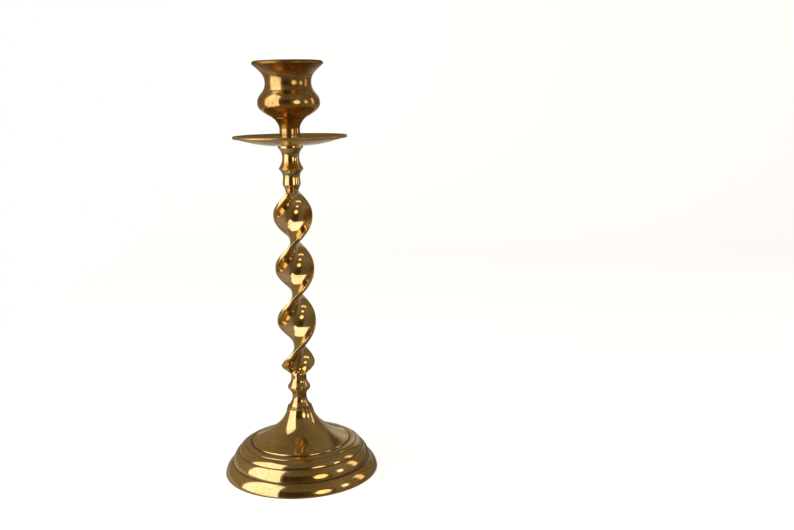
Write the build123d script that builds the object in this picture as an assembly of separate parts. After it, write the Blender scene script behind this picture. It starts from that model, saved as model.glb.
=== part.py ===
from build123d import *
import math
import os

os.makedirs("parts", exist_ok=True)

# Millimetres. Radii are from the upright axis, heights and lengths stack up from the table.
# A name ending in shares gives a curve's two control points as shares of its run and its rise.

# Base, a hollow casting: three rolled bands, a bead, then a trumpet up to the stem
base_radius = 48.0
base_wall = 3.0
low_band_height = 7.2
low_band_draw = 4.4
middle_band_height = 7.0
middle_band_draw = 3.55
upper_band_height = 4.0
upper_band_draw = 3.9
bead_height = 1.2
bead_draw = 3.7
step_width = 0.5
disc_edge_height = 1.1
disc_edge_draw = 1.45
trumpet_height = 19.8
seat_radius = 8.0
ceiling_rise = 2.9
boss_radius = 9.0
boss_drop = 5.4
wall_slant_share = 0.4
roll_shares = ((0.1, 0.42), (0.45, 0.75))
bead_shares = ((0.05, 0.6), (0.4, 1))
disc_edge_shares = ((0, 0.55), (0.3, 1))
trumpet_shares = ((0.44, 0.2), (0.934, 0.519))

# Steel screw and washer that hold the stem down on the base
screw_radius = 2.5
screw_length = 35.0
screw_head_radius = 4.75
screw_head_height = 3.0
screw_head_crown = 0.8
slot_width = 1.2
slot_depth = 1.4
screw_clearance = 0.25
washer_radius = 5.5
washer_thickness = 1.0
thread_clearance = 0.05
hole_spare = 2.0

# Stem, one casting: turned foot, round ring, twisted bar, bead, sharp ring, collar
spigot_radius = 4.2
spigot_length = 3.0
spigot_clearance = 0.05
spigot_gap = 0.4
foot_band_radius = 7.6
foot_band_height = 1.3
foot_cove_radius = 7.0
foot_cove_height = 6.9
low_neck_radius = 4.4
low_ring_rise = 4.1
low_ring_shoulder = 6.5
low_ring_radius = 7.0
low_ring_height = 2.7
low_ring_fall = 5.0
bar_foot_radius = 4.75
bar_foot_height = 1.7
bar_head_radius = 4.1
bead_cone_height = 3.1
stem_bead_radius = 5.5
stem_bead_height = 4.6
waist_radius = 5.1
sharp_ring_rise = 4.5
sharp_ring_shoulder = 7.3
sharp_ring_radius = 7.55
sharp_ring_height = 0.9
sharp_ring_fall = 6.7
collar_cove_height = 5.2
collar_shoulder = 7.35
collar_radius = 7.6
collar_height = 1.5
cove_out_shares = ((0, 0.46), (0.46, 0.66))
cove_in_shares = ((0.6, 0.36), (1, 0.52))
ring_out_shares = ((0.7, 0.1), (1, 0.5))
ring_in_shares = ((0, 0.5), (0.3, 0.9))

# Twisted bar: a flat bar with swelling faces, turned about its own middle
bar_height = 115.8
bar_width = 24.0
bar_middle_thickness = 4.5
bar_edge_thickness = 3.5
bar_edge_bow_share = 0.09
twist_pitch = 65.7
broadside_height = 128.2
bar_end_reach = 12.4
bar_low_taper = 10.5
bar_high_taper = 12.0
core_taper = 10.0
core_radius = 1.0
core_shares = ((0, 0.3), (1, 0.1))
bar_low_shares = ((0.5, 0.45), (0.9, 0.4))
bar_high_shares = ((0.3, 0.8), (0.1, 1))
section_step = 4.0

# Drip pan, a thin dish held between the stem and the cup
pan_radius = 34.35
pan_depth = 5.15
pan_thickness = 1.2
pan_rim_radius = 0.9
pan_seat_radius = 8.4
pan_hole_clearance = 0.1
pan_shares = ((0.38, 0), (0.65, 0.46))

# Threaded stud that joins the cup to the stem
stud_radius = 3.0
stud_engagement = 8.0
stud_in_cup = 9.0
stud_hole_gap = 1.0
stud_chamfer = 0.4

# Candle cup: foot ring, neck, bulge, waist and flared lip, with a bore for a standard candle
cup_foot_radius = 7.2
cup_foot_height = 1.2
cup_foot_cove = 3.3
cup_neck_radius = 6.15
cup_neck_height = 3.8
cup_flare_height = 6.7
cup_flare_radius = 9.4
cup_step = 0.5
bulge_radius = 18.65
bulge_low_height = 8.7
bulge_high_height = 7.3
bulge_top_radius = 15.25
groove_width = 0.3
groove_radius = 14.95
cup_waist_height = 4.6
cup_waist_radius = 13.78
lip_flare_height = 10.2
lip_flare_radius = 20.6
lip_radius = 21.1
lip_low_height = 0.9
lip_high_height = 1.5
lip_crest_width = 1.5
bore_radius = 11.25
bore_length = 20.0
mouth_height = 9.4
bulge_low_shares = ((0.62, 0.3), (1, 0.62))
bulge_high_shares = ((0, 0.54), (0.46, 0.63))
lip_flare_shares = ((0, 0.46), (0.46, 0.68))
mouth_shares = ((0, 0.5), (0.35, 0.85))

overrun = 1.0

# Heights that follow from the sizes above
band_top = low_band_height + middle_band_height + upper_band_height
disc_height = band_top + bead_height + disc_edge_height
base_height = disc_height + trumpet_height
ceiling_height = disc_height - base_wall + ceiling_rise
screw_seat_height = ceiling_height - boss_drop
screw_bearing_height = screw_seat_height - washer_thickness
screw_tip_height = screw_bearing_height + screw_length
bar_foot = (base_height + foot_band_height + foot_cove_height + low_ring_rise
            + low_ring_height + low_ring_fall + bar_foot_height)
bar_head = bar_foot + bar_height
pan_seat = (bar_head + bead_cone_height + stem_bead_height + sharp_ring_rise
            + sharp_ring_height + sharp_ring_fall + collar_cove_height + collar_height)
cup_seat = pan_seat + pan_thickness
stud_foot = pan_seat - stud_engagement
stud_head = cup_seat + stud_in_cup
cup_height = (cup_foot_height + cup_foot_cove + cup_neck_height + cup_flare_height
              + bulge_low_height + bulge_high_height + groove_width + cup_waist_height
              + lip_flare_height + lip_low_height + lip_high_height)


def turned(start_radius, start_height, steps):
    """A solid of revolution. Each step is (radius, rise) for a straight run of the outline, or
    (radius, rise, shares) for a curve. The outline closes from its last point to its start."""
    edges = []
    start = here = (start_radius, start_height)
    for radius, rise, *shares in steps:
        there = (radius, here[1] + rise)
        if shares:
            run = there[0] - here[0]
            controls = [(here[0] + a * run, here[1] + b * rise) for a, b in shares[0]]
            edges.append(Bezier(here, *controls, there))
        else:
            edges.append(Line(here, there))
        here = there
    edges.append(Line(here, start))
    return revolve(Plane.XZ * make_face(Curve() + edges), Axis.Z)


def rod(radius, low, high):
    """A plain round rod on the axis between two heights."""
    return Pos(0, 0, low) * Cylinder(radius, high - low, align=(Align.CENTER, Align.CENTER, Align.MIN))


def make_base():
    outer_low = base_radius - low_band_draw
    outer_middle = outer_low - step_width - middle_band_draw
    outer_upper = outer_middle - step_width - upper_band_draw
    bead_inner = outer_upper - step_width - bead_draw
    disc_outer = bead_inner - step_width
    body = turned(0, 0, [
        (base_radius, 0),
        (outer_low, low_band_height, roll_shares),
        (outer_low - step_width, 0),
        (outer_middle, middle_band_height, roll_shares),
        (outer_middle - step_width, 0),
        (outer_upper, upper_band_height, roll_shares),
        (outer_upper - step_width, 0),
        (bead_inner, bead_height, bead_shares),
        (disc_outer, 0),
        (disc_outer - disc_edge_draw, disc_edge_height, disc_edge_shares),
        (seat_radius, trumpet_height, trumpet_shares),
        (0, 0),
    ])
    slant = base_wall * wall_slant_share
    hollow = turned(0, -overrun, [
        (base_radius - base_wall, 0),
        (base_radius - base_wall, overrun),
        (outer_low - base_wall, low_band_height - slant),
        (outer_middle - base_wall, middle_band_height),
        (outer_upper - base_wall, band_top + slant - base_wall - low_band_height - middle_band_height),
        (boss_radius, ceiling_height - band_top + base_wall),
        (boss_radius, -boss_drop),
        (0, 0),
    ])
    hole = rod(screw_radius + screw_clearance, screw_seat_height - overrun, base_height + overrun)
    recess = rod(spigot_radius + spigot_clearance,
                 base_height - spigot_length - spigot_gap, base_height + overrun)
    return body - hollow - hole - recess


def bar_section():
    """The bar's cross-section: two swelling faces and two slightly rounded edges."""
    half_width = bar_width / 2
    half_edge = bar_edge_thickness / 2
    edge_bow = bar_edge_thickness * bar_edge_bow_share
    corner = half_width - edge_bow
    return make_face(Curve() + [
        ThreePointArc((-corner, half_edge), (0, bar_middle_thickness / 2), (corner, half_edge)),
        ThreePointArc((corner, half_edge), (half_width, 0), (corner, -half_edge)),
        ThreePointArc((corner, -half_edge), (0, -bar_middle_thickness / 2), (-corner, -half_edge)),
        ThreePointArc((-corner, -half_edge), (-half_width, 0), (-corner, half_edge)),
    ])


def make_twisted_bar():
    """A loft through turned sections, trimmed by an envelope that draws both ends in to the necks."""
    count = math.ceil(bar_height / section_step)
    heights = [bar_foot + bar_height * i / count for i in range(count + 1)]
    turns = [360 * (height - broadside_height) / twist_pitch for height in heights]
    section = bar_section()
    bar = loft([Pos(0, 0, height) * Rot(0, 0, turn) * section for height, turn in zip(heights, turns)])
    envelope = turned(0, bar_foot, [
        (bar_foot_radius, 0),
        (bar_end_reach, bar_low_taper, bar_low_shares),
        (bar_end_reach, bar_height - bar_low_taper - bar_high_taper),
        (bar_head_radius, bar_high_taper, bar_high_shares),
        (0, 0),
    ])
    return bar & envelope


def make_stem():
    foot = turned(0, base_height - spigot_length, [
        (spigot_radius, 0),
        (spigot_radius, spigot_length),
        (foot_band_radius, 0),
        (foot_band_radius, foot_band_height),
        (foot_cove_radius, 0),
        (low_neck_radius, foot_cove_height, cove_in_shares),
        (low_ring_shoulder, low_ring_rise, cove_out_shares),
        (low_ring_radius, low_ring_height / 2, ring_out_shares),
        (low_ring_shoulder, low_ring_height / 2, ring_in_shares),
        (bar_foot_radius, low_ring_fall, cove_in_shares),
        (bar_foot_radius, bar_foot_height),
        (core_radius, core_taper, core_shares),
        (0, 0),
    ])
    head = turned(0, bar_head - core_taper, [
        (core_radius, 0),
        (bar_head_radius, core_taper, [(1 - a, 1 - b) for a, b in reversed(core_shares)]),
        (stem_bead_radius, bead_cone_height),
        (waist_radius, stem_bead_height),
        (sharp_ring_shoulder, sharp_ring_rise, cove_out_shares),
        (sharp_ring_radius, sharp_ring_height / 2),
        (sharp_ring_shoulder, sharp_ring_height / 2),
        (waist_radius, sharp_ring_fall, cove_in_shares),
        (collar_shoulder, collar_cove_height, cove_out_shares),
        (collar_radius, 0),
        (collar_radius, collar_height),
        (0, 0),
    ])
    screw_hole = rod(screw_radius + thread_clearance,
                     base_height - spigot_length - overrun, screw_tip_height + hole_spare)
    stud_hole = rod(stud_radius + thread_clearance, stud_foot - stud_hole_gap, pan_seat + overrun)
    return foot + make_twisted_bar() + head - screw_hole - stud_hole


def make_screw():
    head_foot = screw_bearing_height - screw_head_height
    screw = turned(0, head_foot, [
        (screw_head_radius - screw_head_crown, 0),
        (screw_head_radius, screw_head_crown),
        (screw_head_radius, screw_head_height - screw_head_crown),
        (screw_radius, 0),
        (screw_radius, screw_length),
        (0, 0),
    ])
    slot = Pos(0, 0, head_foot) * Box(2 * screw_head_radius + overrun, slot_width, 2 * slot_depth)
    return screw - slot


def make_washer():
    ring = rod(washer_radius, screw_bearing_height, screw_seat_height)
    return ring - rod(screw_radius + screw_clearance,
                      screw_bearing_height - overrun, screw_seat_height + overrun)


def make_pan():
    rim_centre = pan_radius - pan_rim_radius
    underside_rise = pan_depth - pan_thickness / 2
    hole_radius = stud_radius + pan_hole_clearance
    dish = turned(hole_radius, pan_seat, [
        (pan_seat_radius, 0),
        (rim_centre, underside_rise, pan_shares),
        (rim_centre, pan_thickness),
        (pan_seat_radius, -underside_rise, [(1 - a, 1 - b) for a, b in reversed(pan_shares)]),
        (hole_radius, 0),
    ])
    rim = Pos(0, 0, pan_seat + pan_depth) * Torus(rim_centre, pan_rim_radius)
    return dish + rim


def make_stud():
    end_radius = stud_radius - stud_chamfer
    return turned(0, stud_foot, [
        (end_radius, 0),
        (stud_radius, stud_chamfer),
        (stud_radius, stud_head - stud_foot - 2 * stud_chamfer),
        (end_radius, stud_chamfer),
        (0, 0),
    ])


def make_cup():
    crest_radius = lip_radius - lip_crest_width
    body = turned(0, cup_seat, [
        (cup_foot_radius, 0),
        (cup_foot_radius, cup_foot_height),
        (cup_neck_radius, cup_foot_cove, cove_in_shares),
        (cup_neck_radius, cup_neck_height),
        (cup_flare_radius, cup_flare_height, cove_out_shares),
        (cup_flare_radius + cup_step, 0),
        (bulge_radius, bulge_low_height, bulge_low_shares),
        (bulge_top_radius, bulge_high_height, bulge_high_shares),
        (groove_radius, groove_width),
        (cup_waist_radius, cup_waist_height, cove_in_shares),
        (lip_flare_radius, lip_flare_height, lip_flare_shares),
        (lip_radius, lip_low_height, ring_out_shares),
        (crest_radius, lip_high_height, ring_in_shares),
        (0, 0),
    ])
    rim_height = cup_seat + cup_height
    bore_floor = rim_height - mouth_height - bore_length
    mouth = turned(0, bore_floor, [
        (bore_radius, 0),
        (bore_radius, bore_length),
        (crest_radius, mouth_height, mouth_shares),
        (crest_radius, overrun),
        (0, 0),
    ])
    stud_hole = rod(stud_radius + thread_clearance, cup_seat - overrun, stud_head + stud_hole_gap)
    return body - mouth - stud_hole


pieces = {
    "base": make_base,
    "stem": make_stem,
    "base_screw": make_screw,
    "base_washer": make_washer,
    "drip_pan": make_pan,
    "cup_stud": make_stud,
    "candle_cup": make_cup,
}

for name, make in pieces.items():
    piece = make()
    piece.label = name
    export_step(piece, f"parts/{name}.step")
    box = piece.bounding_box()
    print(name, len(piece.solids()), "solid", round(piece.volume, 1), "mm3",
          "z", round(box.min.Z, 2), round(box.max.Z, 2))
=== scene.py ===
import math

import bpy
import numpy as np
from mathutils import Matrix


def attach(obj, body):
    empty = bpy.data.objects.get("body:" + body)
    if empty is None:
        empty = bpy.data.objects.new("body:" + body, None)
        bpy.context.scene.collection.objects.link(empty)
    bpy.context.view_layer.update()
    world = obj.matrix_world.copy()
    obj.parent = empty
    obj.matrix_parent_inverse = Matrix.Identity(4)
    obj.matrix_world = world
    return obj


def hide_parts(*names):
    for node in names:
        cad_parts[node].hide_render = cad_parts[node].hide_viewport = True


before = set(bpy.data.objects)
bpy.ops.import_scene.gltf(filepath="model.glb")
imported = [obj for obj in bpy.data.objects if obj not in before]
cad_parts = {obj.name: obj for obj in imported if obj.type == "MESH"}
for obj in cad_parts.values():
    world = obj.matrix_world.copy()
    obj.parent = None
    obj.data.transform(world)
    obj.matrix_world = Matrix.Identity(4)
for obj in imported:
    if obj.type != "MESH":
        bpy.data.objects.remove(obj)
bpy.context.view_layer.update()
mm = 0.001

# Camera. The photograph is taken from a little above the cup, turned down towards the table and
# tilted by about a degree, with the candlestick left of the middle of the picture.
picture_width = 794
focal_length = 915
camera_place = (0.0628, -0.5529, 0.2319)
look_down = 10.41
tilt = 0.94

camera_data = bpy.data.cameras.new("camera")
camera_data.sensor_width = 36
camera_data.lens = camera_data.sensor_width * focal_length / picture_width
camera = bpy.data.objects.new("camera", camera_data)
bpy.context.scene.collection.objects.link(camera)
camera.matrix_world = (Matrix.Translation(camera_place)
                       @ Matrix.Rotation(math.radians(90 - look_down), 4, "X")
                       @ Matrix.Rotation(math.radians(-tilt), 4, "Z"))
bpy.context.scene.camera = camera

# Base. A hollow brass casting, turned and polished outside into three rolled bands, a bead and a
# trumpet that carries the stem. Its underside is left as it came from the sand.
base_radius = 48.0
base_wall = 3.0
band_heights = (7.2, 7.0, 4.0)
band_draws = (4.4, 3.55, 3.9)
bead_height = 1.2
bead_draw = 3.7
step_width = 0.5
disc_edge_height = 1.1
disc_edge_draw = 1.45
trumpet_height = 19.8
seat_radius = 8.0
roll_shares = ((0.1, 0.42), (0.45, 0.75))
bead_shares = ((0.05, 0.6), (0.4, 1))
disc_edge_shares = ((0, 0.55), (0.3, 1))
trumpet_shares = ((0.44, 0.2), (0.934, 0.519))
screw_hole_radius = 2.75
spigot_hole_radius = 4.25
spigot_hole_depth = 3.4
boss_radius = 9.0
boss_drop = 5.4
ceiling_rise = 2.9
wall_slant = 1.2


def outline(start, steps):
    """A profile as (radius, height) points. A step is (radius, rise) for a straight run, or
    (radius, rise, shares) for a cubic curve with its two control points at those shares."""
    t = np.linspace(0, 1, 121)[1:, None]
    here = np.array(start, float)
    runs = [here[None]]
    for radius, rise, *shares in steps:
        there = np.array((radius, here[1] + rise))
        first, second = np.array(shares[0] if shares else ((1 / 3, 1 / 3), (2 / 3, 2 / 3)))
        first, second = here + first * (there - here), here + second * (there - here)
        runs.append((1 - t) ** 3 * here + 3 * (1 - t) ** 2 * t * first
                    + 3 * (1 - t) * t ** 2 * second + t ** 3 * there)
        here = there
    return np.concatenate(runs)


def averaged(points, reach, step, loop):
    """Each point becomes the bell-weighted mean of its neighbours along the profile. An open
    profile is carried on past each end by its own mirror image, so its ends stay put."""
    size = int(3 * reach / step) + 1
    bell = np.exp(-0.5 * (np.arange(-size, size + 1) * step / reach) ** 2)
    bell /= bell.sum()
    before, after = points[-size:], points[:size]
    if not loop:
        before = 2 * points[0] - points[size:0:-1]
        after = 2 * points[-1] - points[-2:-size - 2:-1]
    padded = np.concatenate((before, points, after))
    return np.stack([np.convolve(c, bell, "valid") for c in padded.T], axis=1)


def buffed(points, softness=0.14, spacing=0.7, turn=9.0, loop=False):
    """The profile as the polishing wheel leaves it: its corners rounded by an average along its
    length, then its rows picked so that none is further than spacing from the next, or turned
    from it by more than turn degrees. The third column is how far each row lies in a hollow,
    from -1 on a sharp edge to 1 in a sharp corner."""
    step = 0.04
    if loop:
        points = np.concatenate((points, points[:1]))
    along = np.concatenate(([0], np.cumsum(np.hypot(*np.diff(points, axis=0).T))))
    even = np.linspace(0, along[-1], int(along[-1] / step) + 1)
    if loop:
        even = even[:-1]
    fine = np.stack([np.interp(even, along, c) for c in points.T], axis=1)
    soft = averaged(fine, softness, step, loop)
    wide = averaged(fine, 0.7, step, loop)
    run = np.gradient(soft, axis=0)
    run /= np.hypot(*run.T)[:, None]
    hollow = np.clip(((wide - soft) * np.stack((run[:, 1], -run[:, 0]), axis=1)).sum(1) / 0.2, -1, 1)
    bend = np.abs(np.diff(np.unwrap(np.arctan2(run[:, 1], run[:, 0]))))
    need = np.concatenate(([0], np.cumsum(step / spacing + np.degrees(bend) / turn)))
    picked = np.linspace(0, need[-1], math.ceil(need[-1]) + 1)
    if loop:
        picked = picked[:-1]
    return np.stack([np.interp(picked, need, c) for c in (*soft.T, hollow)], axis=1)


def turned(rows, around):
    """A lathe's surface: x is radius times cosine, y is radius times sine, z is height."""
    angle = np.linspace(0, 2 * math.pi, around, endpoint=False)
    radius, height = rows[:, :1], rows[:, 1:2]
    return np.stack((radius * np.cos(angle), radius * np.sin(angle), height + 0 * angle), axis=2)


def skinned(name, grid, hollow, finishes, inner=None, loop=False):
    """A closed mesh over a grid of rows that each close round the axis. The first and last rows
    shrink to a point on the axis, or the last joins the first where the profile is a loop. The
    strips of faces that inner marks take the second of the finishes."""
    rows, around = grid.shape[:2]
    index = np.arange(rows * around).reshape(rows, around)
    if loop:
        index = np.vstack((index, index[:1]))
    else:
        index[0], index[-1] = index[0, 0], index[-1, 0]
    low, high = index[:-1], index[1:]
    faces = np.stack((low, np.roll(low, -1, 1), np.roll(high, -1, 1), high), axis=2).reshape(-1, 4)
    used, faces = np.unique(faces, return_inverse=True)
    faces = faces.reshape(-1, 4)
    first, last = faces[:, 0] == faces[:, 1], faces[:, 2] == faces[:, 3]
    square = ~(first | last)
    mesh = bpy.data.meshes.new(name)
    mesh.from_pydata(grid.reshape(-1, 3)[used] * mm, [],
                     faces[square].tolist() + faces[first][:, 1:].tolist()
                     + faces[last][:, :3].tolist())
    for finish in finishes:
        mesh.materials.append(finish)
    if inner is not None:
        second = np.repeat(inner[:len(low)], around)
        second = np.concatenate((second[square], second[first], second[last]))
        mesh.polygons.foreach_set("material_index", second.astype(np.int32))
    mesh.attributes.new("hollow", "FLOAT", "POINT").data.foreach_set(
        "value", np.broadcast_to(hollow, (rows, around)).ravel()[used].astype(np.float32))
    mesh.shade_smooth()
    mesh.validate()
    piece = bpy.data.objects.new(name, mesh)
    bpy.context.scene.collection.objects.link(piece)
    return piece


def linear(hexed):
    """An sRGB colour such as #E7B565 as the linear red, green, blue and alpha that nodes take."""
    parts = [int(hexed[i:i + 2], 16) / 255 for i in (1, 3, 5)]
    return [c / 12.92 if c <= 0.04045 else ((c + 0.055) / 1.055) ** 2.4 for c in parts] + [1]


def add(tree, kind, inputs={}, **settings):
    """Adds a node with its settings. An input is a plain value or another node's output."""
    node = tree.nodes.new(kind)
    for key, value in settings.items():
        setattr(node, key, value)
    for key, value in inputs.items():
        if isinstance(value, bpy.types.NodeSocket):
            tree.links.new(value, node.inputs[key])
        else:
            node.inputs[key].default_value = value
    return node


def polished_brass(name, fresh, aged, grime_and_corner_shade, smooth, dull, tarnish, ripple, stains, dull_above=1.0):
    """Brass brought to a shine on a felt wheel: it mirrors the room a little unevenly. It has
    clouds of aged colour about 14 mm wide, slanting streaks from the cloth about 8 mm long, brown
    stains 2.5 mm wide, faint turning marks round the axis, and a soft ripple about 9 mm long from the
    wheel. Its corners and grooves are painted dark brown, partly for brown polish left there and partly
    as painted shade. Real turning marks are 0.1 mm apart, and they are drawn 0.6 mm apart so that they
    show. Above a height in metres it is dull from handling."""
    cloud_size, streak_width, smear_width, stretch_share = 0.014, 0.0016, 0.003, 0.2
    stain_size, mark_size, wave_size = 0.0025, 0.0006, 0.009
    blend_height = 0.003
    mark_depth = 0.0000015
    material = bpy.data.materials.new(name)
    material.use_nodes = True
    tree = material.node_tree
    shader = tree.nodes["Principled BSDF"]
    place = add(tree, "ShaderNodeTexCoord").outputs["Object"]
    parts = add(tree, "ShaderNodeSeparateXYZ", {0: place}).outputs
    clouds = add(tree, "ShaderNodeTexNoise",
                 {"Vector": place, "Scale": 1 / cloud_size, "Detail": 5.0, "Roughness": 0.6})
    slanted = add(tree, "ShaderNodeMapping", {"Vector": place, "Rotation": (0.0, math.radians(40), 0.0),
                                              "Scale": (1.0, 1.0, stretch_share)}).outputs[0]
    streaks = add(tree, "ShaderNodeTexNoise",
                  {"Vector": slanted, "Scale": 1 / streak_width, "Detail": 3.0})
    aging = add(tree, "ShaderNodeMath", {0: streaks.outputs["Fac"], 1: 0.4, 2: clouds.outputs["Fac"]},
                operation="MULTIPLY_ADD").outputs[0]
    cloud_share = add(tree, "ShaderNodeMapRange", {"Value": aging, "From Min": 0.6, "From Max": 0.9,
                                                   "To Min": 0.0, "To Max": tarnish}).outputs["Result"]
    handled = add(tree, "ShaderNodeMapRange", {"Value": parts[2], "From Min": dull_above - blend_height,
                                               "From Max": dull_above + blend_height}).outputs["Result"]
    aged_share = add(tree, "ShaderNodeMath", {0: cloud_share, 1: handled},
                     operation="MAXIMUM").outputs[0]
    metal = add(tree, "ShaderNodeMix", {0: aged_share, 6: linear(fresh), 7: linear(aged)},
                data_type="RGBA")
    hollow = add(tree, "ShaderNodeAttribute", attribute_name="hollow").outputs["Fac"]
    # Painted shade: rows that lie in a hollow are darkened towards the dark brown colour, partly for polish
    # left in the corners and partly for shade in the grooves.
    polish_and_corner_shade = add(tree, "ShaderNodeMapRange", {"Value": hollow, "From Min": 0.08, "From Max": 0.6,
                                                   "To Min": 0.0, "To Max": 0.9}).outputs["Result"]
    spots = add(tree, "ShaderNodeTexNoise",
                {"Vector": place, "Scale": 1 / stain_size, "Detail": 5.0, "Roughness": 0.6})
    spot_share = add(tree, "ShaderNodeMapRange",
                     {"Value": spots.outputs["Fac"], "From Min": 0.5, "From Max": 0.72,
                      "To Min": 0.0, "To Max": stains}).outputs["Result"]
    # The dark brown colour carries both the real stains and the painted shade in the corners.
    stain_and_shade_share = add(tree, "ShaderNodeMath", {0: polish_and_corner_shade, 1: spot_share},
                      operation="MAXIMUM").outputs[0]
    colour = add(tree, "ShaderNodeMix", {0: stain_and_shade_share, 6: metal.outputs[2], 7: linear(grime_and_corner_shade)},
                 data_type="RGBA")
    tree.links.new(colour.outputs[2], shader.inputs["Base Color"])
    smears = add(tree, "ShaderNodeTexNoise",
                 {"Vector": slanted, "Scale": 1 / smear_width, "Detail": 4.0, "Roughness": 0.65})
    smear_rough = add(tree, "ShaderNodeMapRange",
                      {"Value": smears.outputs["Fac"], "From Min": 0.3, "From Max": 0.75,
                       "To Min": smooth, "To Max": dull}).outputs["Result"]
    spotted = add(tree, "ShaderNodeMath", {0: stain_and_shade_share, 1: 0.3, 2: smear_rough},
                  operation="MULTIPLY_ADD").outputs[0]
    rough = add(tree, "ShaderNodeMath", {0: handled, 1: 0.2, 2: spotted}, operation="MULTIPLY_ADD")
    tree.links.new(rough.outputs[0], shader.inputs["Roughness"])
    shader.inputs["Metallic"].default_value = 1.0
    level = add(tree, "ShaderNodeCombineXYZ", {0: parts[0], 1: parts[1]}).outputs[0]
    from_axis = add(tree, "ShaderNodeVectorMath", {0: level}, operation="LENGTH")
    along = add(tree, "ShaderNodeCombineXYZ", {0: from_axis.outputs["Value"], 1: parts[2]}).outputs[0]
    marks = add(tree, "ShaderNodeTexNoise", {"Vector": along, "Scale": 1 / mark_size, "Detail": 2.0})
    waves = add(tree, "ShaderNodeTexNoise", {"Vector": place, "Scale": 1 / wave_size, "Detail": 1.0})
    marked = add(tree, "ShaderNodeBump",
                 {"Height": marks.outputs["Fac"], "Distance": mark_depth, "Strength": 1.0})
    rippled = add(tree, "ShaderNodeBump", {"Height": waves.outputs["Fac"], "Distance": ripple,
                                           "Strength": 1.0, "Normal": marked.outputs[0]})
    tree.links.new(rippled.outputs[0], shader.inputs["Normal"])
    return material


def as_cast_brass():
    """Brass as it leaves a sand mould: dull and brown, with the sand's grain, about 0.5 mm, and
    patches of darker colour about 12 mm wide."""
    grain_size, patch_size, grain_depth = 0.0005, 0.012, 0.00012
    material = bpy.data.materials.new("sand cast brass, unpolished")
    material.use_nodes = True
    tree = material.node_tree
    shader = tree.nodes["Principled BSDF"]
    place = add(tree, "ShaderNodeTexCoord").outputs["Object"]
    grain = add(tree, "ShaderNodeTexNoise",
                {"Vector": place, "Scale": 1 / grain_size, "Detail": 4.0, "Roughness": 0.6})
    patches = add(tree, "ShaderNodeTexNoise", {"Vector": place, "Scale": 1 / patch_size, "Detail": 3.0})
    colour = add(tree, "ShaderNodeMix", {0: patches.outputs["Fac"], 6: linear("#B08A4C"),
                                         7: linear("#7E5E32")}, data_type="RGBA")
    tree.links.new(colour.outputs[2], shader.inputs["Base Color"])
    rough = add(tree, "ShaderNodeMapRange",
                {"Value": grain.outputs["Fac"], "To Min": 0.45, "To Max": 0.75})
    tree.links.new(rough.outputs["Result"], shader.inputs["Roughness"])
    shader.inputs["Metallic"].default_value = 1.0
    bump = add(tree, "ShaderNodeBump",
               {"Height": grain.outputs["Fac"], "Distance": grain_depth, "Strength": 1.0})
    tree.links.new(bump.outputs[0], shader.inputs["Normal"])
    return material


# The dark brown colour serves real stains and the painted shade in corners and grooves.
cast_brass = polished_brass("polished cast brass", fresh="#EDCE93", aged="#D9B16A", grime_and_corner_shade="#4A2C0E",
                            smooth=0.05, dull=0.17, tarnish=0.8, ripple=0.00003, stains=0.22)
rough_brass = as_cast_brass()

band_radii = base_radius - np.cumsum(band_draws) - step_width * np.arange(3)
bead_radius = band_radii[2] - step_width
disc_radius = bead_radius - bead_draw - step_width
disc_height = sum(band_heights) + bead_height + disc_edge_height
base_height = disc_height + trumpet_height
ceiling_height = disc_height - base_wall + ceiling_rise
base_outside = [(base_radius, 0)]
for band_radius, band_height in zip(band_radii, band_heights):
    base_outside += [(band_radius, band_height, roll_shares), (band_radius - step_width, 0)]
base_outside += [
    (bead_radius - bead_draw, bead_height, bead_shares),
    (disc_radius, 0),
    (disc_radius - disc_edge_draw, disc_edge_height, disc_edge_shares),
    (seat_radius, trumpet_height, trumpet_shares),
    (spigot_hole_radius, 0),
    (spigot_hole_radius, -spigot_hole_depth),
    (screw_hole_radius, 0),
    (screw_hole_radius, ceiling_height - boss_drop - base_height + spigot_hole_depth),
]
base_inside = [
    (boss_radius, 0),
    (boss_radius, boss_drop),
    (band_radii[2] - base_wall, sum(band_heights) - base_wall + wall_slant - ceiling_height),
    (band_radii[1] - base_wall, -band_heights[2] + base_wall - wall_slant),
    (band_radii[0] - base_wall, -band_heights[1] - wall_slant),
    (base_radius - base_wall, -band_heights[0] + wall_slant),
    (base_radius, 0),
]
base_rows = buffed(outline((base_radius, 0), base_outside[1:] + base_inside)[:-1], loop=True)
underside_limit = np.array(((0, ceiling_height + 1),
                            (band_radii[2] - base_wall + 1, sum(band_heights) - 0.5),
                            (band_radii[1] - base_wall + 1, band_heights[0] + band_heights[1]),
                            (band_radii[0] - base_wall + 1, band_heights[0]),
                            (base_radius - base_wall, 0.3),
                            (base_radius - base_wall + 0.1, -1)))
underside = base_rows[:, 1] < np.interp(base_rows[:, 0], underside_limit[:, 0], underside_limit[:, 1])
base = skinned("candlestick_base", turned(base_rows, 256), base_rows[:, 2:], (cast_brass, rough_brass),
               inner=underside, loop=True)
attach(base, "holder")
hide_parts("base")

# Stem. One brass casting: a turned foot with a round ring, a flat bar twisted like a right-hand
# screw, then a bead, a sharp ring and a collar. A spigot sets it in the base, and it is tapped at
# both ends for the screw and the stud.
spigot_radius = 4.2
spigot_length = 3.0
screw_thread_radius = 2.55
screw_hole_top = 51.0
stud_thread_radius = 3.05
stud_hole_floor = 195.3
pan_seat = 204.3
neck_radius = 4.75
head_radius = 4.1
foot_band_radius = 7.6
foot_cove_radius = 7.0
foot_neck_radius = 4.4
low_ring_radius = 7.0
low_ring_shoulder = 6.5
low_ring_half = 1.35
stem_bead_radius = 5.5
waist_radius = 5.1
sharp_ring_radius = 7.55
sharp_ring_shoulder = 7.3
sharp_ring_half = 0.45
collar_shoulder = 7.35
collar_radius = 7.6
collar_height = 1.5
bar_height = 115.8
bar_width = 24.0
bar_middle_thickness = 4.5
bar_edge_thickness = 3.5
edge_bow = 0.31
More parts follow.
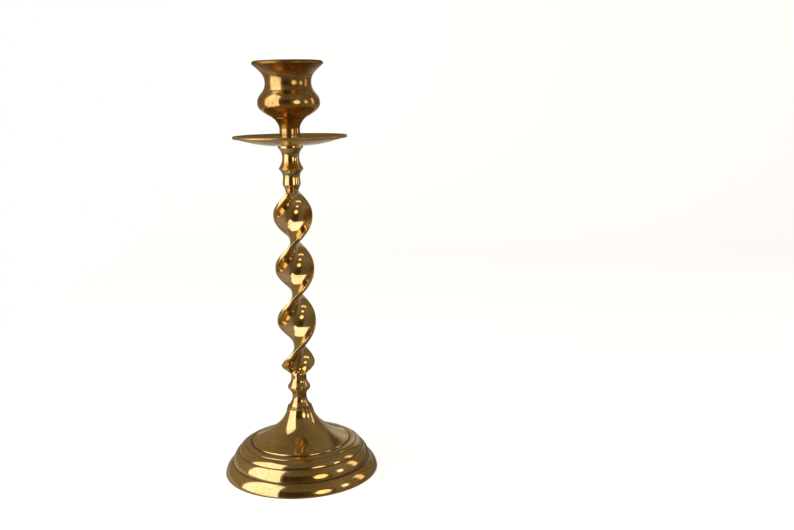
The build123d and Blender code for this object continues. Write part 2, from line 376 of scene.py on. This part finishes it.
twist_pitch = 65.7
broadside_height = 128.2
end_reach = 12.4
low_taper = 10.5
high_taper = 12.0
core_taper = 10.0
core_radius = 1.0
fillet = 0.9
cove_out = ((0, 0.46), (0.46, 0.66))
cove_in = ((0.6, 0.36), (1, 0.52))
ring_out = ((0.7, 0.1), (1, 0.5))
ring_in = ((0, 0.5), (0.3, 0.9))
low_taper_shares = ((0.5, 0.45), (0.9, 0.4))
high_taper_shares = ((0.3, 0.8), (0.1, 1))
core_shares = ((0, 0.3), (1, 0.1))

foot_rows = buffed(outline((0, screw_hole_top), [
    (screw_thread_radius, 0),
    (screw_thread_radius, base_height - spigot_length - screw_hole_top),
    (spigot_radius, 0),
    (spigot_radius, spigot_length),
    (foot_band_radius, 0),
    (foot_band_radius, 1.3),
    (foot_cove_radius, 0),
    (foot_neck_radius, 6.9, cove_in),
    (low_ring_shoulder, 4.1, cove_out),
    (low_ring_radius, low_ring_half, ring_out),
    (low_ring_shoulder, low_ring_half, ring_in),
    (neck_radius, 5.0, cove_in),
    (neck_radius, 1.7),
]))
bar_foot = foot_rows[-1, 1]
bar_head = bar_foot + bar_height
head_rows = buffed(outline((head_radius, bar_head), [
    (stem_bead_radius, 3.1),
    (waist_radius, 4.6),
    (sharp_ring_shoulder, 4.5, cove_out),
    (sharp_ring_radius, sharp_ring_half),
    (sharp_ring_shoulder, sharp_ring_half),
    (waist_radius, 6.7, cove_in),
    (collar_shoulder, 5.2, cove_out),
    (collar_radius, 0),
    (collar_radius, collar_height),
    (stud_thread_radius, 0),
    (stud_thread_radius, stud_hole_floor - pan_seat),
    (0, 0),
]))
across = np.linspace(-1, 1, 201)[:-1, None]
face_side = np.hstack((across * (bar_width / 2 - edge_bow),
                       (bar_middle_thickness - (bar_middle_thickness - bar_edge_thickness)
                        * across ** 2) / 2))
edge_side = np.hstack((bar_width / 2 - edge_bow * across ** 2, -across * bar_edge_thickness / 2))
bar_section = buffed(np.concatenate((face_side, edge_side, -face_side, -edge_side))[::-1],
                     softness=0.36, spacing=0.42, turn=10, loop=True)
section_angle = np.unwrap(np.arctan2(bar_section[:, 1], bar_section[:, 0]))
section_reach = np.hypot(bar_section[:, 0], bar_section[:, 1])


def eased(value, low, high):
    """0 below low and 1 above high, with a smooth S between them."""
    share = np.clip((value - low) / (high - low), 0, 1)
    return share * share * (3 - 2 * share)


def twisted_stem(foot_rows, head_rows):
    """Round rows have their profile's radius all round. A row of the bar takes, in each direction,
    the reach of the flat section turned to that height, drawn in to an envelope at both ends and
    kept outside a slender cone, with both meetings rounded by a smooth least and greatest."""
    around = len(section_angle)
    height = np.arange(bar_foot, bar_head, 0.45)[1:]
    envelope = outline((neck_radius, bar_foot), [
        (end_reach, low_taper, low_taper_shares),
        (end_reach, bar_height - low_taper - high_taper),
        (head_radius, high_taper, high_taper_shares),
    ])
    limit = np.interp(height, envelope[:, 1], envelope[:, 0])[:, None]
    cone = outline((neck_radius, bar_foot), [
        (core_radius, core_taper, core_shares),
        (core_radius, bar_height - 2 * core_taper),
        (head_radius, core_taper, 1 - np.array(core_shares)[::-1]),
    ])
    core = np.interp(height, cone[:, 1], cone[:, 0])[:, None]
    from_end = np.minimum(height - bar_foot, bar_head - height)[:, None]
    soft = fillet * eased(from_end, 0, 3)
    limit = limit + 2 * fillet * eased(from_end, 9, 16)
    flat = eased(from_end, 0, 9)
    even = section_angle[0] + 2 * math.pi * np.arange(around) / around
    angle = flat * section_angle + (1 - flat) * even
    reach = np.interp(angle, section_angle, section_reach, period=2 * math.pi)
    reach = (limit + reach - np.sqrt((limit - reach) ** 2 + soft ** 2)) / 2
    reach = (core + reach + np.sqrt((core - reach) ** 2 + soft ** 2)) / 2
    turn = 2 * math.pi * (height[:, None] - broadside_height) / twist_pitch
    sharp = flat * bar_section[:, 2]
    stretches = [(angle + turn, reach, height[:, None] + 0 * angle, sharp)]
    for rows, end in ((foot_rows, bar_foot), (head_rows, bar_head)):
        ones = np.ones((len(rows), around))
        end_turn = 2 * math.pi * (end - broadside_height) / twist_pitch
        stretches.append((ones * (even + end_turn), ones * rows[:, :1],
                          ones * rows[:, 1:2], ones * rows[:, 2:]))
    bar, foot, head = stretches
    angle, reach, height, hollow = (np.concatenate(parts) for parts in zip(foot, bar, head))
    return np.stack((reach * np.cos(angle), reach * np.sin(angle), height), axis=2), hollow


stem_grid, stem_hollow = twisted_stem(foot_rows, head_rows)
stem = skinned("twisted_stem", stem_grid, stem_hollow, (cast_brass,))
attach(stem, "holder")
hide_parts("stem")

# Drip pan. A thin dish spun from sheet brass, its edge rolled into a round bead. It lies on the
# stem's collar and the cup's foot clamps it.
pan_thickness = 1.2
pan_seat_radius = 8.4
pan_hole_radius = 3.1
pan_depth = 5.15
pan_rim_radius = 0.9
pan_rim_centre = 33.45
pan_shares = ((0.38, 0), (0.65, 0.46))

pan_rise = pan_depth - pan_thickness / 2
rim_middle = np.array((pan_rim_centre, pan_seat + pan_depth))
pan_under = outline((pan_hole_radius, pan_seat),
                    [(pan_seat_radius, 0), (pan_rim_centre, pan_rise, pan_shares)])
pan_under = pan_under[np.hypot(*(pan_under - rim_middle).T) > pan_rim_radius]
pan_over = pan_under + (0, pan_thickness)
pan_over = pan_over[np.hypot(*(pan_over - rim_middle).T) > pan_rim_radius]
rim_ends = [np.arctan2(height, radius) for radius, height in (pan_under[-1] - rim_middle,
                                                              pan_over[-1] - rim_middle)]
rim_angle = np.linspace(*rim_ends, 80)[:, None]
pan_rim = rim_middle + pan_rim_radius * np.hstack((np.cos(rim_angle), np.sin(rim_angle)))
pan_rows = buffed(np.concatenate((pan_under, pan_rim, pan_over[::-1])), spacing=0.5, loop=True)
rim_dull_height = 2
# The dark brown colour serves real stains and the painted shade in corners and grooves.
sheet_brass = polished_brass("spun sheet brass", fresh="#EDCE93", aged="#D9B16A", grime_and_corner_shade="#4A2C0E",
                             smooth=0.12, dull=0.28, tarnish=0.9, ripple=0.00004, stains=0.3,
                             dull_above=(pan_seat + pan_depth - rim_dull_height) * mm)
pan = skinned("drip_pan_dish", turned(pan_rows, 256), pan_rows[:, 2:], (sheet_brass,), loop=True)
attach(pan, "pan")
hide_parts("drip_pan")

# Stud. A short M6 steel stud, zinc plated, that joins the cup to the stem through the pan.
stud_low, stud_high = 196.3, 214.5
stud_radius = 3.0
stud_pitch = 1.0
stud_chamfer = 0.4


def threaded(radius, pitch, low, high, chamfer, around):
    """A right-hand screw thread: the radius falls from crest to root as a flat-topped wave of the
    height less the angle's share of a turn, and both ends are cut back to a cone."""
    height = np.linspace(low, high, int((high - low) / pitch * 14) + 1)[:, None]
    angle = np.linspace(0, 2 * math.pi, around, endpoint=False)
    phase = (height / pitch - angle / (2 * math.pi)) % 1
    root = np.clip(1.6 * np.abs(2 * phase - 1) - 0.2, 0, 1)
    reach = radius - 0.6 * pitch * root
    reach = np.minimum(reach, radius - chamfer + np.minimum(height - low, high - height))
    reach = np.vstack((0 * angle, reach, 0 * angle))
    height = np.vstack((height[:1], height, height[-1:]))
    return np.stack((reach * np.cos(angle), reach * np.sin(angle), height + 0 * angle), axis=2)


def zinc_plated_steel():
    """Steel with a bright zinc plating: bluish grey, satin, with cloudy patches 3 mm wide."""
    material = bpy.data.materials.new("zinc plated steel")
    material.use_nodes = True
    tree = material.node_tree
    shader = tree.nodes["Principled BSDF"]
    place = add(tree, "ShaderNodeTexCoord").outputs["Object"]
    clouds = add(tree, "ShaderNodeTexNoise", {"Vector": place, "Scale": 1 / 0.003, "Detail": 4.0})
    colour = add(tree, "ShaderNodeMix", {0: clouds.outputs["Fac"], 6: linear("#C9CBCB"),
                                         7: linear("#A5A394")}, data_type="RGBA")
    tree.links.new(colour.outputs[2], shader.inputs["Base Color"])
    rough = add(tree, "ShaderNodeMapRange",
                {"Value": clouds.outputs["Fac"], "To Min": 0.25, "To Max": 0.45})
    tree.links.new(rough.outputs["Result"], shader.inputs["Roughness"])
    shader.inputs["Metallic"].default_value = 1.0
    return material


zinc_steel = zinc_plated_steel()
for node in ("base_screw", "base_washer"):
    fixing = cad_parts[node]
    fixing.data.materials.clear()
    fixing.data.materials.append(zinc_steel)
stud_grid = threaded(stud_radius, stud_pitch, stud_low, stud_high, stud_chamfer, around=64)
stud = skinned("cup_stud_thread", stud_grid, 0.0, (zinc_steel,))
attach(stud, "stud")
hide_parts("cup_stud")

# Candle cup. A brass casting turned to a foot ring, a slim neck, a bulge, a waist and a thick
# flared lip, and bored for a standard candle.
cup_seat = pan_seat + pan_thickness
cup_top = 254.0
bore_radius = 11.25
bore_length = 20.0
mouth_height = 9.4
crest_radius = 19.6
cup_hole_top = 215.5
cup_foot_radius = 7.2
cup_neck_radius = 6.15
cup_flare_radius = 9.4
cup_step_radius = 10.1
bulge_radius = 18.65
bulge_top_radius = 15.25
groove_radius = 14.95
cup_waist_radius = 13.78
lip_flare_radius = 20.6
lip_radius = 21.1
cup_rows = buffed(outline((0, cup_hole_top), [
    (stud_thread_radius, 0),
    (stud_thread_radius, cup_seat - cup_hole_top),
    (cup_foot_radius, 0),
    (cup_foot_radius, 1.2),
    (cup_neck_radius, 3.3, cove_in),
    (cup_neck_radius, 3.8),
    (cup_flare_radius, 6.7, cove_out),
    (cup_step_radius, 0),
    (cup_step_radius, 0.5),
    (bulge_radius, 8.2, ((0.62, 0.3), (1, 0.62))),
    (bulge_top_radius, 7.3, ((0, 0.54), (0.46, 0.63))),
    (groove_radius, 0.3),
    (cup_waist_radius, 4.6, cove_in),
    (lip_flare_radius, 10.2, ((0, 0.46), (0.46, 0.68))),
    (lip_radius, 0.9, ring_out),
    (crest_radius, 1.5, ring_in),
    (bore_radius, -mouth_height, ((0.65, 0.15), (1, 0.5))),
    (bore_radius, -bore_length),
    (0, 0),
]), spacing=0.5)
lip_dull_height = 6
# The dark brown colour serves real stains and the painted shade in corners and grooves.
aged_brass = polished_brass("polished cast brass, aged", fresh="#E8BE7C", aged="#A67C40",
                            grime_and_corner_shade="#46290E", smooth=0.08, dull=0.24, tarnish=0.8, ripple=0.00005, stains=0.35,
                            dull_above=(cup_top - lip_dull_height) * mm)
cup = skinned("turned_cup", turned(cup_rows, 256), cup_rows[:, 2:], (aged_brass,))
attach(cup, "cup")
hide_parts("candle_cup")

# Studio. A pale sheet of paper under and behind the candlestick, a tall window at the left, three
# small lamps at the right, and a dimly glowing card for the camera, its holder and the dark front of
# the room, which polished brass shows in its middle. The card's glow and the paper's look in the metal
# are painted light. The room beyond is brown and dim, darkest in front.
room_side = 0.24
room_front = 0.13
paper_glow = 0.8
# Painted light: how much the paper glows in the metal far from the candlestick.
painted_far_glow = 0.52


def by_ray(tree, straight, mirrored, other):
    """A value that depends on the ray that meets a thing: straight from the camera, mirrored in
    metal or through glass, or any other."""
    path = add(tree, "ShaderNodeLightPath").outputs
    shown = add(tree, "ShaderNodeMath", {0: path["Is Glossy Ray"], 1: path["Is Transmission Ray"]},
                operation="MAXIMUM").outputs[0]
    value = add(tree, "ShaderNodeMix", {0: shown, 2: other, 3: mirrored}).outputs[0]
    return add(tree, "ShaderNodeMix", {0: path["Is Camera Ray"], 2: value, 3: straight}).outputs[0]


def room():
    """The room's light falls from its sides to its front with the direction's part towards the
    camera. It is dimmer behind at the right and overhead, and the camera sees plain white."""
    world = bpy.data.worlds.new("room")
    world.use_nodes = True
    tree = world.node_tree
    bearing = add(tree, "ShaderNodeTexCoord").outputs["Generated"]
    direction = add(tree, "ShaderNodeSeparateXYZ", {0: bearing}).outputs
    dim = add(tree, "ShaderNodeMapRange", {"Value": direction[1], "From Min": -0.9, "From Max": 0.0,
                                           "To Min": room_front, "To Max": room_side}).outputs["Result"]
    behind = add(tree, "ShaderNodeMath", {0: direction[0], 1: direction[1]}, operation="ADD").outputs[0]
    right = add(tree, "ShaderNodeMapRange", {"Value": behind, "From Min": 0.6, "From Max": 1.2,
                                             "To Min": 1.0, "To Max": 0.72}).outputs["Result"]
    above = add(tree, "ShaderNodeMapRange", {"Value": direction[2], "From Min": 0.7, "From Max": 0.95,
                                             "To Min": 1.0, "To Max": 0.65}).outputs["Result"]
    shares = add(tree, "ShaderNodeMath", {0: right, 1: above}, operation="MULTIPLY").outputs[0]
    dim = add(tree, "ShaderNodeMath", {0: dim, 1: shares}, operation="MULTIPLY").outputs[0]
    shade = add(tree, "ShaderNodeVectorMath", {0: linear("#FFEAC0")[:3], "Scale": dim},
                operation="SCALE").outputs[0]
    colour = add(tree, "ShaderNodeMix", {0: add(tree, "ShaderNodeLightPath").outputs["Is Camera Ray"],
                                         6: shade, 7: (1, 1, 1, 1)}, data_type="RGBA")
    tree.links.new(colour.outputs[2], tree.nodes["Background"].inputs["Color"])
    return world


def paper():
    """Matt white paper. It glows a little for the camera, so that it shows white behind the shadow.
    In the metal and in bounced light it is painted as a darker brown table. In the metal it also glows
    with painted light: dim beside the candlestick, high up and at the right, and paler far from it, with
    a painted pool of light at the left and a painted lit patch on the wall behind at the right. From below
    it is clear, so that the underside can be seen."""
    pool_place, pool_reach = (-0.13, 0, 0), (0.05, 0.25)
    patch_place, patch_reach = (0.36, 1.2, 0.5), (0.1, 0.5)
    material = bpy.data.materials.new("matt white paper")
    material.use_nodes = True
    tree = material.node_tree
    tree.nodes.clear()
    path = add(tree, "ShaderNodeLightPath").outputs
    # Painted reflection: the paper is pale for the camera and a darker brown for every other ray.
    colour = add(tree, "ShaderNodeMix", {0: path["Is Camera Ray"], 6: linear("#8A7E6C"),
                                         7: linear("#EDEBE6")}, data_type="RGBA")
    matt = add(tree, "ShaderNodeBsdfDiffuse", {"Color": colour.outputs[2]})
    place = add(tree, "ShaderNodeTexCoord").outputs["Object"]
    distance = add(tree, "ShaderNodeVectorMath", {0: place}, operation="LENGTH").outputs["Value"]
    parts = add(tree, "ShaderNodeSeparateXYZ", {0: place}).outputs
    # Painted light: the glow the metal sees rises far from the candlestick and falls high up and at the
    # right.
    far = add(tree, "ShaderNodeMapRange", {"Value": distance, "From Min": 0.2, "From Max": 0.6,
                                           "To Min": 0.0, "To Max": painted_far_glow}).outputs["Result"]
    low = add(tree, "ShaderNodeMapRange", {"Value": parts[2], "From Min": 0.05, "From Max": 0.3,
                                           "To Min": 1.0, "To Max": 0.14}).outputs["Result"]
    right = add(tree, "ShaderNodeMapRange", {"Value": parts[0], "From Min": 0.05, "From Max": 0.4,
                                             "To Min": 1.0, "To Max": 0.35}).outputs["Result"]
    shares = add(tree, "ShaderNodeMath", {0: low, 1: right}, operation="MULTIPLY").outputs[0]
    # Painted light: a pool of light on the paper at the left and a lit patch on the wall behind.
    from_pool = add(tree, "ShaderNodeVectorMath", {0: place, 1: pool_place},
                    operation="DISTANCE").outputs["Value"]
    pool = add(tree, "ShaderNodeMapRange", {"Value": from_pool, "From Min": pool_reach[0],
                                            "From Max": pool_reach[1],
                                            "To Min": 0.26, "To Max": 0.0}).outputs["Result"]
    from_patch = add(tree, "ShaderNodeVectorMath", {0: place, 1: patch_place},
                     operation="DISTANCE").outputs["Value"]
    patch = add(tree, "ShaderNodeMapRange", {"Value": from_patch, "From Min": patch_reach[0],
                                             "From Max": patch_reach[1],
                                             "To Min": 0.38, "To Max": 0.0}).outputs["Result"]
    lights = add(tree, "ShaderNodeMath", {0: pool, 1: patch}, operation="ADD").outputs[0]
    mirrored = add(tree, "ShaderNodeMath", {0: far, 1: shares, 2: lights},
                   operation="MULTIPLY_ADD").outputs[0]
    glow = add(tree, "ShaderNodeEmission", {"Color": (1, 1, 1, 1),
                                            "Strength": by_ray(tree, paper_glow, mirrored, 0.0)})
    lit = add(tree, "ShaderNodeAddShader", {0: matt.outputs[0], 1: glow.outputs[0]})
    below = add(tree, "ShaderNodeNewGeometry").outputs["Backfacing"]
    clear = add(tree, "ShaderNodeBsdfTransparent")
    shown = add(tree, "ShaderNodeMixShader", {0: below, 1: lit.outputs[0], 2: clear.outputs[0]})
    add(tree, "ShaderNodeOutputMaterial", {"Surface": shown.outputs[0]})
    return material


def sweep(left, right, front, back, rise, bend):
    """A sheet that runs flat from front to back, turns up through a quarter circle of radius bend
    and goes on up to rise."""
    turn = np.linspace(0, math.pi / 2, 24)
    y = np.concatenate(((front,), back - bend + bend * np.sin(turn), (back,)))
    z = np.concatenate(((0,), bend - bend * np.cos(turn), (rise,)))
    x = np.array((left, right))
    corners = np.stack(np.broadcast_arrays(x[None], y[:, None], z[:, None]), axis=2).reshape(-1, 3)
    first = np.arange(0, 2 * len(y) - 2, 2)
    mesh = bpy.data.meshes.new("sweep")
    mesh.from_pydata(corners, [], np.stack((first, first + 1, first + 3, first + 2), axis=1).tolist())
    mesh.materials.append(paper())
    mesh.shade_smooth()
    return mesh


def card(left_bearing, right_bearing, distance, low, high):
    """An upright sheet at a distance, between two bearings from straight towards the camera, that stands
    for the camera, its holder and the dark front of the room. It is no lamp but glows dimly, with painted
    light a little paler to the right and low down."""
    angle = np.radians(np.linspace(left_bearing, right_bearing, 9))
    x, y = distance * np.sin(angle), -distance * np.cos(angle)
    corners = np.concatenate((np.stack((x, y, 0 * x + low), 1), np.stack((x, y, 0 * x + high), 1)))
    first = np.arange(8)
    mesh = bpy.data.meshes.new("card")
    mesh.from_pydata(corners, [], np.stack((first, first + 1, first + 10, first + 9), axis=1).tolist())
    cloth = bpy.data.materials.new("dim painted glow for the dark front")
    cloth.use_nodes = True
    cloth.node_tree.nodes.clear()
    tree = cloth.node_tree
    place = add(tree, "ShaderNodeTexCoord").outputs["Object"]
    parts = add(tree, "ShaderNodeSeparateXYZ", {0: place}).outputs
    # Painted light: the card's glow is paler to the right and low down.
    across = add(tree, "ShaderNodeMapRange", {"Value": parts[0], "From Min": 0.0, "From Max": 0.9,
                                              "To Min": 0.05, "To Max": 0.11}).outputs["Result"]
    low_part = add(tree, "ShaderNodeMapRange", {"Value": parts[2], "From Min": -0.1, "From Max": 0.15,
                                                "To Min": 0.06, "To Max": 0.0}).outputs["Result"]
    strength = add(tree, "ShaderNodeMath", {0: across, 1: low_part}, operation="ADD").outputs[0]
    dim = add(tree, "ShaderNodeEmission", {"Color": linear("#FFD9A0"), "Strength": strength})
    add(tree, "ShaderNodeOutputMaterial", {"Surface": dim.outputs[0]})
    mesh.materials.append(cloth)
    return mesh


def staged(name, mesh):
    """Puts a mesh in the studio as something that isn't part of the object."""
    piece = bpy.data.objects.new(name, mesh)
    bpy.context.scene.collection.objects.link(piece)
    return piece


def lamp(name, bearing, distance, height, width, tall, radiance, colour="#FFFFFF", shape="RECTANGLE",
         lean=0):
    """An upright flat lamp that faces the candlestick's axis. Bearing is from straight towards the
    camera, positive to the right, and the power follows from the radiance that is wanted. Lean
    turns it in its own plane, so that its foot comes nearer to the camera."""
    angle = math.radians(bearing)
    data = bpy.data.lights.new(name, "AREA")
    data.shape = shape
    data.size, data.size_y = width, tall
    data.energy = radiance * math.pi * width * tall
    data.color = linear(colour)[:3]
    light = bpy.data.objects.new(name, data)
    light.visible_camera = False
    bpy.context.scene.collection.objects.link(light)
    place = (distance * math.sin(angle), -distance * math.cos(angle), height)
    light.matrix_world = (Matrix.Translation(place)
                          @ Matrix.Rotation(angle, 4, "Z") @ Matrix.Rotation(math.pi / 2, 4, "X")
                          @ Matrix.Rotation(math.radians(lean), 4, "Z"))
    return light


bpy.context.scene.world = room()
staged("paper_sweep", sweep(left=-0.35, right=0.8, front=-0.14, back=1.2, rise=1.4, bend=0.4))
# Painted shade and light: a dimly glowing card for the camera, its holder and the dark front of the room.
holder = staged("camera_and_dark_front_glow", card(-30, 55, distance=1.2, low=-0.4, high=0.8))
holder.visible_camera = False
lamp("window", bearing=-62, distance=0.8, height=0.70, width=0.92, tall=2.0, radiance=1.45, lean=5)
lamp("lamp_near", bearing=36, distance=0.82, height=0.30, width=0.34, tall=0.36, radiance=1.5,
     colour="#FFEFC0", shape="ELLIPSE")
lamp("lamp_middle", bearing=72, distance=0.85, height=0.32, width=0.14, tall=0.22, radiance=2.0)
lamp("lamp_far", bearing=104, distance=0.85, height=0.35, width=0.15, tall=0.5, radiance=1.3,
     colour="#FFE6D8")
bpy.context.scene.view_settings.view_transform = "Standard"
